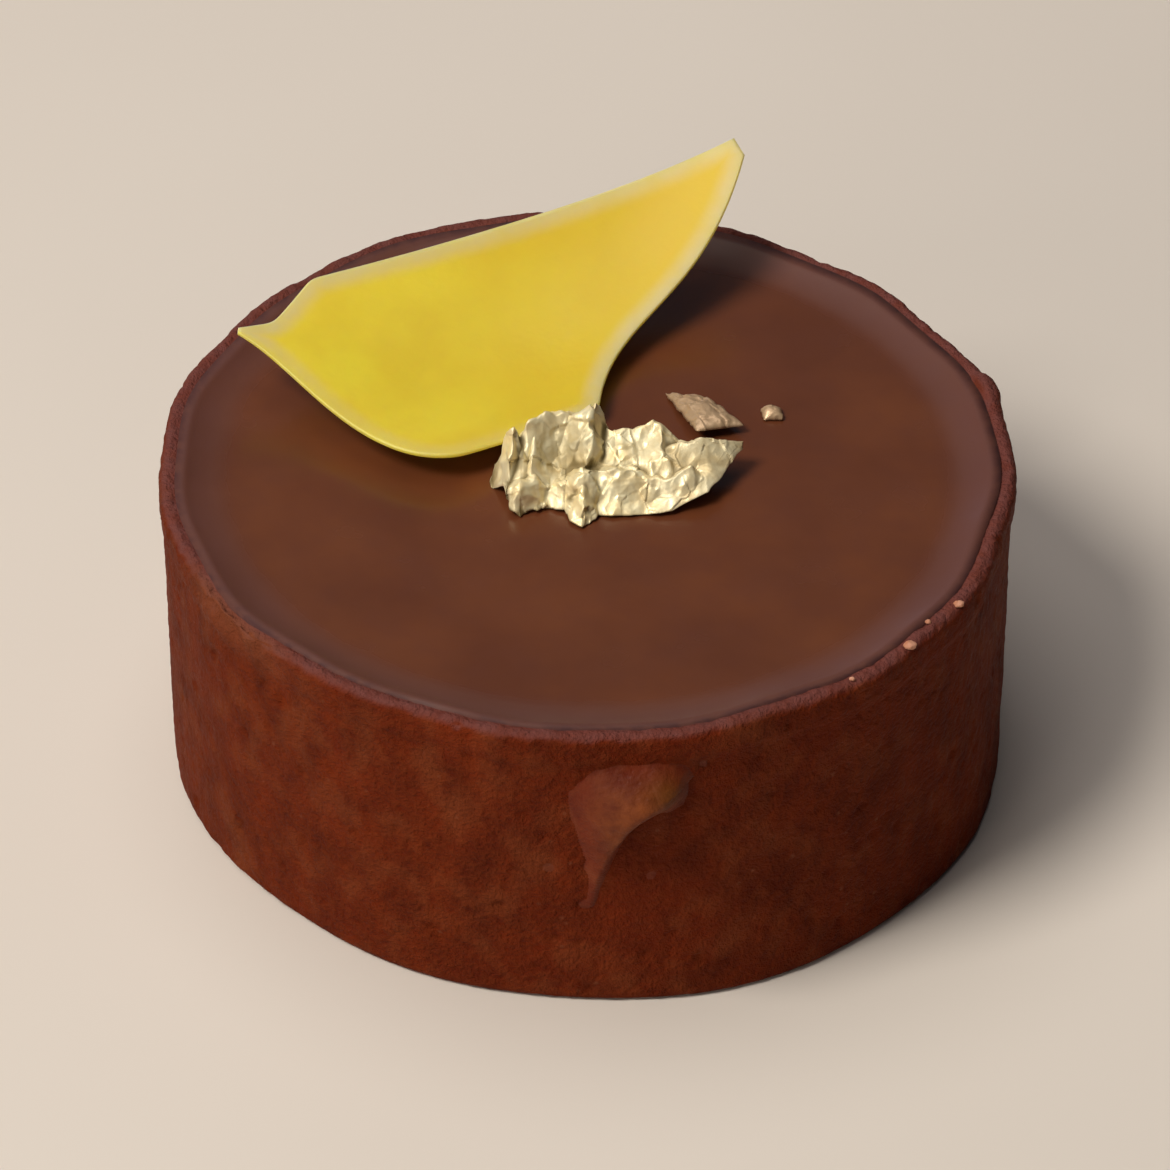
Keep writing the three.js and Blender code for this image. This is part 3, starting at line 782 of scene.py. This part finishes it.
def gold_leaf():
    """A crumpled leaf that climbs from its front edge to a crest and drops again behind."""
    x = np.linspace(LEAF_FRONT[0][0], LEAF_FRONT[-1][0], LEAF_GRID[0])
    v = np.linspace(0, 1, LEAF_GRID[1])
    front, back = (np.interp(x, *np.transpose(edge)) for edge in (LEAF_FRONT, LEAF_BACK))
    y = front[:, None] + (back - front)[:, None] * v
    places = np.stack([np.repeat(x[:, None], len(v), 1), y], -1)
    flat = np.concatenate([places, 0 * y[..., None]], 2).reshape(-1, 3)
    wander = np.stack([noise_at(flat, 1.8, 2, seed=seed) for seed in (24, 25)], 1).reshape(places.shape)
    crest = bezier([(h,) for h in LEAF_CREST], np.linspace(0, 1, len(x)))[:, 0]
    climb = 0.05 + 0.95 * (v / LEAF_CREST_AT) ** 0.8
    drop = 1 - 0.9 * (v - LEAF_CREST_AT) / (1 - LEAF_CREST_AT)
    crest *= smoothstep(x, x[0] - 0.1, x[0] + LEAF_LEFT_RISE)
    height = crest[:, None] * np.minimum(climb, drop)
    height += (LEAF_TIP_LIFT * smoothstep(x, 3.5, 12.0))[:, None]
    height -= LEAF_DENT[4] * leaf_dent(places)
    height += np.max([fold_height(places + 0.8 * wander, *of) for of in LEAF_FOLDS], axis=0)
    grid = np.concatenate([places + 0.15 * wander, height[..., None]], 2)
    # Painted shade in the valleys and in the dent.
    hollow = np.maximum(leaf_hollow_shade(grid), 0.65 * leaf_dent(places))
    to_right = smoothstep(places[..., 0], 1.0, 7.0)
    crumple = LEAF_CRUMPLE - LEAF_CRUMPLE_LESS * to_right
    # The leaf's right gets a little of the duller tan, partly painted shade.
    sheet = foil(grid, crumple, LEAF_CREASE, 20, hollow=hollow, dull=0.15 * to_right)
    return joined("gold_leaf_main", [sheet])


def leaf_hollow_shade(grid):
    """Where painted shade goes: 1 in the leaf's valleys, 0 on its folds, from its height over its own
    surroundings.
    """
    height = grid[..., 2]
    reach = 12
    padded = np.pad(height, reach, mode="edge")
    window = np.hanning(2 * reach + 1) / np.hanning(2 * reach + 1).sum()
    around = np.apply_along_axis(np.convolve, 0, padded, window, "valid")
    around = np.apply_along_axis(np.convolve, 1, around, window, "valid")
    return smoothstep(around - height, -0.01, 0.2)


def gold_material():
    m = Nodes("gold_leaf", **{"Metallic": 0.3, "Specular IOR Level": 0.5})
    colour = m.mix(m.ranged(m.noise(1.6, 3.0, 0.6), 0.35, 0.65), GOLD_BRIGHT, GOLD_DEEP)
    # Painted shade in the valleys.
    colour = m.mix(m.math("MULTIPLY", m.attribute("hollow"), 0.9), colour, GOLD_HOLLOW_SHADE)
    # Duller gold with painted shade.
    colour = m.mix(m.math("MULTIPLY", m.attribute("dull"), 0.9), colour, GOLD_DULL_AND_SHADE)
    roughness = m.ranged(m.noise(1.0, 2.0), 0.3, 0.7, 0.32, 0.46)
    roughness = m.math("ADD", roughness, m.math("MULTIPLY", m.attribute("hollow"), 0.22))
    return m.finish(colour, roughness, m.noise(0.35, 3.0, 0.6), 0.03)


GOLD = gold_material()
dress(gold_leaf(), GOLD, "gold_leaf", "gold_leaf")

FLAKE_CRUMPLE = 0.3  # as a share of its height
FLAKE_CREASE = 1.2


def flake(name, solid, corners, height, seed):
    """A crumpled scrap between four corners, those of its left side and then those of its right."""
    side = np.linspace(0, 1, 50)
    left = bezier(corners[:2], side)
    right = bezier(corners[2:], side)
    grid = left[:, None] + (right - left)[:, None] * side[None, :, None]
    swell = np.clip(1 - (2 * side - 1) ** 2, 0, 1)
    grid[..., 2] += height * np.sqrt(swell[:, None] * swell)
    # The whole flake gets the duller tan, partly painted shade.
    sheet = foil(grid, height * FLAKE_CRUMPLE, FLAKE_CREASE, seed, dull=1.0)
    return dress(joined(name, [sheet]), GOLD, "gold_leaf", solid)


LARGE_FLAKE = ((5.5, 8.9, 0.1), (7.7, 3.6, 0.9), (8.0, 8.6, 0.1), (11.0, 4.6, 0.7))
SMALL_FLAKE = ((12.2, 7.4, 0.08), (12.5, 6.1, 0.08), (13.6, 7.3, 0.08), (13.8, 6.2, 0.08))

flake("gold_leaf_flake", "gold_flake_large", LARGE_FLAKE, 0.8, 30)
flake("gold_leaf_speck", "gold_flake_small", SMALL_FLAKE, 0.6, 40)


# ---------------------------------------------------------------- lump on the side

LUMP_RIDGE = ((5.0, 19.0), (3.4, 18.4), (2.0, 16.4), (0.7, 9.0))  # across the wall, and height
LUMP_HEIGHTS = (1.9, 2.4, 2.5, 0.5, 0.2)  # how far the ridge stands out, from its head to its tail
LUMP_LEFT = (3.3, 4.0, 9.6, -0.6, 0.9)  # how far the gentle side reaches
LUMP_RIGHT = (2.6, 1.7, 1.2, 0.8, 0.7)  # how far the steep side reaches
LUMP_SPAN = ((-2.6, 8.4), (8.0, 22.6))
LUMP_GRID = (130, 170)
LUMP_SUNK = 0.12
LUMP_BACK = 1.2  # how deep its back lies in the crust

LUMP_LIGHT = linear(129, 66, 30)
# The lump's upper right head is ochre: partly the caramel's colour, partly painted warm light on its
# up-facing head.
LUMP_OCHRE_AND_WARM_LIGHT = linear(104, 58, 18)
LUMP_DARK = linear(92, 38, 16)


def lump_relief(across, height):
    """How far the lump stands out: a ridge with a gentle side towards the upper left."""
    share = np.linspace(0, 1, 70)
    ridge = bezier(LUMP_RIDGE, share)
    from_ridge = np.stack([across.ravel(), height.ravel()], 1)[:, None] - ridge[None]
    distance = np.linalg.norm(from_ridge, axis=2)
    nearest = distance.argmin(1)
    rise = np.gradient(ridge, axis=0)[nearest]
    offset = from_ridge[np.arange(len(nearest)), nearest]
    gentle = rise[:, 0] * offset[:, 1] - rise[:, 1] * offset[:, 0] < 0
    stands = bezier([(h,) for h in LUMP_HEIGHTS], share)[nearest, 0]
    left, right = (bezier([(w,) for w in reach], share)[nearest, 0] for reach in (LUMP_LEFT, LUMP_RIGHT))
    reach = np.where(gentle, left, right)
    falls = 1 - smoothstep(distance.min(1) / reach, 0, 1)
    return (stands * falls).reshape(across.shape)


def side_lump():
    """A set drop of filling on the wall that thins out into the crust all round."""
    (left, right), (low, high) = LUMP_SPAN
    across, height = np.meshgrid(
        np.linspace(left, right, LUMP_GRID[0]), np.linspace(high, low, LUMP_GRID[1]), indexing="ij"
    )
    proud = lump_relief(across, height)
    wall = BASE_RADIUS + (RIM_RADIUS - LIP_PROUD - BASE_RADIUS) * height / (HEIGHT - LIP_DEPTH)
    angle = np.arcsin(across / wall) - math.pi / 2
    radius = wall + unevenness(angle, height)
    out = np.stack([np.cos(angle), np.sin(angle), 0 * angle], -1)
    points = out * radius[..., None]
    points[..., 2] = height
    soft = 0.07 * noise_at(points.reshape(-1, 3), 1.8, 2, seed=50).reshape(height.shape)
    outer = points + out * (proud + soft * smoothstep(proud, 0, 0.3) - LUMP_SUNK)[..., None]
    inner = points - out * LUMP_BACK
    # Where the caramel's ochre and the painted warm light go, on the upper right of the head.
    ochre_and_warm_light = smoothstep(across, 3.4, 6.0) * smoothstep(height, 18.0, 20.0)
    thick = smoothstep(proud, 0.25, 1.9)
    return joined("lump", [slab(outer + AXIS, inner + AXIS, {"ochre_and_warm_light": ochre_and_warm_light, "thick": thick})])


def lump_material():
    m = Nodes("caramel", **{"Specular IOR Level": 0.15})
    crust, grain = crust_colour(m)
    colour = m.mix(m.ranged(m.noise(1.6, 3.0), 0.35, 0.65), LUMP_LIGHT, LUMP_DARK)
    # Caramel ochre with painted warm light on the upper right of the head.
    colour = m.mix(m.attribute("ochre_and_warm_light"), colour, LUMP_OCHRE_AND_WARM_LIGHT)
    colour = m.mix(m.attribute("thick"), crust, colour)
    roughness = m.ranged(m.noise(0.9, 2.0), 0.3, 0.7, 0.45, 0.6)
    return m.finish(colour, roughness, grain, 0.04)


dress(side_lump(), lump_material(), "caramel", "side_lump")


# ---------------------------------------------------------------- pale crumbs on the rim, their paleness partly painted glints

# Bearing, distance in from the rim's edge, and size of each
CRUMBS = ((-41.6, 0.35, 0.9), (-30.5, 0.3, 0.7), (-36.0, 0.9, 0.45), (-52.0, 0.6, 0.4))
CRUMB_SHAPE = np.array([0.5, 0.4, 0.35])  # half its length, width and height for a size of 1

# The crumbs are pale: partly their own colour, partly painted glints.
CRUMB_GLINT_LIGHT = linear(206, 150, 122)
CRUMB_GLINT_DARK = linear(178, 118, 88)


def crumb(bearing, inwards, size, seed):
    """Points and faces of one uneven crumb that sits on the rim."""
    made = bmesh.new()
    bmesh.ops.create_icosphere(made, subdivisions=3, radius=1.0)
    points = np.array([vertex.co[:] for vertex in made.verts])
    faces = [[vertex.index for vertex in face.verts] for face in made.faces]
    made.free()
    points *= (1 + 0.3 * noise_at(points, 0.9, 2, seed=seed))[:, None]
    angle = math.radians(bearing)
    radius = RIM_RADIUS + unevenness(angle, HEIGHT) - inwards
    middle = [radius * math.cos(angle), radius * math.sin(angle), HEIGHT + 0.1 * size]
    return points * CRUMB_SHAPE * size + middle + AXIS, faces, {}


def crumb_material():
    m = Nodes("crumb", **{"Specular IOR Level": 0.2})
    colour = m.mix(m.ranged(m.noise(0.5, 2.0), 0.35, 0.65), CRUMB_GLINT_LIGHT, CRUMB_GLINT_DARK)
    roughness = m.ranged(m.noise(0.3, 2.0), 0.3, 0.7, 0.6, 0.8)
    return m.finish(colour, roughness, m.noise(0.12, 2.0), 0.03)


crumbs = joined("crumbs", [crumb(*of, 60 + k) for k, of in enumerate(CRUMBS)])
crumbs.data.materials.append(crumb_material())
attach(crumbs, "root")


# ---------------------------------------------------------------- floor, light and camera

FLOOR_REACH = 1500.0
FLOOR_DARK = linear(218, 208, 196)
FLOOR_LIGHT = linear(224, 215, 204)

WORLD_LOW = linear(168, 166, 172)
WORLD_HIGH = linear(165, 168, 182)
WORLD_STRENGTH = 0.32
WORLD_DIMMED = (-1.0, 0.7, 1.0, 0.05)  # from full light at the left to little at the right

# Direction seen from the tart, distance, diameter, watts and colour
LIGHTS = {
    "key": ((-0.50, -0.30, 0.81), 900.0, 340.0, 6.2, (1.0, 0.95, 0.88)),
    "fill": ((-0.6, -0.75, 0.3), 900.0, 500.0, 1.7, (1.0, 0.92, 0.84)),
    "top": ((-0.15, 0.2, 1.0), 1200.0, 900.0, 4.0, (1.0, 0.95, 0.91)),
    "sky": ((0.1, 0.9, 0.5), 1000.0, 700.0, 0.1, (0.84, 0.86, 1.0)),
    "low sky": ((-0.25, 0.95, 0.22), 1000.0, 360.0, 0.4, (0.86, 0.82, 1.0)),
}

ELEVATION = 39.95
DISTANCE = 588.6
ROLL = 0.9
FRAME_WIDTH = 84.0  # shown at the tart's distance
AIM_HEIGHT = 13.0


def floor():
    far = FLOOR_REACH
    corners = [(-far, -far, 0), (far, -far, 0), (far, far, 0), (-far, far, 0)]
    plane = mesh_object("floor", corners, [(0, 1, 2, 3)])
    m = Nodes("pale_floor", **{"Specular IOR Level": 0.2})
    colour = m.mix(m.noise(60.0, 2.0), FLOOR_DARK, FLOOR_LIGHT)
    plane.data.materials.append(m.finish(colour, m.ranged(m.noise(20.0), 0, 1, 0.7, 0.8)))


def aimed(thing, place, target, roll=0.0):
    """Puts an object at a place in millimetres, turned to a target and rolled by so many degrees."""
    bpy.context.scene.collection.objects.link(thing)
    place, target = Vector(place) * MM, Vector(target) * MM
    turn = (target - place).to_track_quat("-Z", "Y").to_matrix().to_4x4()
    thing.matrix_world = Matrix.Translation(place) @ turn @ Matrix.Rotation(math.radians(roll), 4, "Z")
    return thing


def area_light(name, direction, distance, size, watts, colour):
    light = bpy.data.lights.new(name, "AREA")
    light.shape = "DISK"
    light.size = size * MM
    light.energy = watts
    light.color = colour
    middle = Vector(AXIS) + Vector((0, 0, HEIGHT / 2))
    place = middle + Vector(direction).normalized() * distance
    aimed(bpy.data.objects.new(name, light), place, middle)


def world():
    made = bpy.data.worlds.new("studio")
    bpy.context.scene.world = made
    made.use_nodes = True
    tree = made.node_tree
    background = tree.nodes["Background"]
    place = tree.nodes.new("ShaderNodeTexCoord")
    split = tree.nodes.new("ShaderNodeSeparateXYZ")
    ramp = tree.nodes.new("ShaderNodeValToRGB")
    tree.links.new(place.outputs["Generated"], split.inputs[0])
    tree.links.new(split.outputs["Z"], ramp.inputs["Fac"])
    dimmer = tree.nodes.new("ShaderNodeMapRange")
    for socket, number in zip(dimmer.inputs[1:5], WORLD_DIMMED):
        socket.default_value = number
    tree.links.new(split.outputs["X"], dimmer.inputs["Value"])
    shade = tree.nodes.new("ShaderNodeVectorMath")
    shade.operation = "SCALE"
    tree.links.new(ramp.outputs["Color"], shade.inputs[0])
    tree.links.new(dimmer.outputs["Result"], shade.inputs["Scale"])
    tree.links.new(shade.outputs["Vector"], background.inputs["Color"])
    for stop, colour, position in zip(ramp.color_ramp.elements, (WORLD_LOW, WORLD_HIGH), (0.1, 0.9)):
        stop.color = colour
        stop.position = position
    background.inputs["Strength"].default_value = WORLD_STRENGTH


def camera():
    data = bpy.data.cameras.new("camera")
    data.sensor_width = 36.0
    data.lens = data.sensor_width * DISTANCE / FRAME_WIDTH
    data.clip_start = 0.01
    tilt = math.radians(ELEVATION)
    place = Vector(AXIS) + Vector((0, -math.cos(tilt), math.sin(tilt))) * DISTANCE
    target = Vector(AXIS) + Vector((0, 0, AIM_HEIGHT))
    bpy.context.scene.camera = aimed(bpy.data.objects.new("camera", data), place, target, ROLL)


floor()
world()
for light_name, settings in LIGHTS.items():
    area_light(light_name, *settings)
camera()
bpy.context.scene.view_settings.view_transform = "Standard"
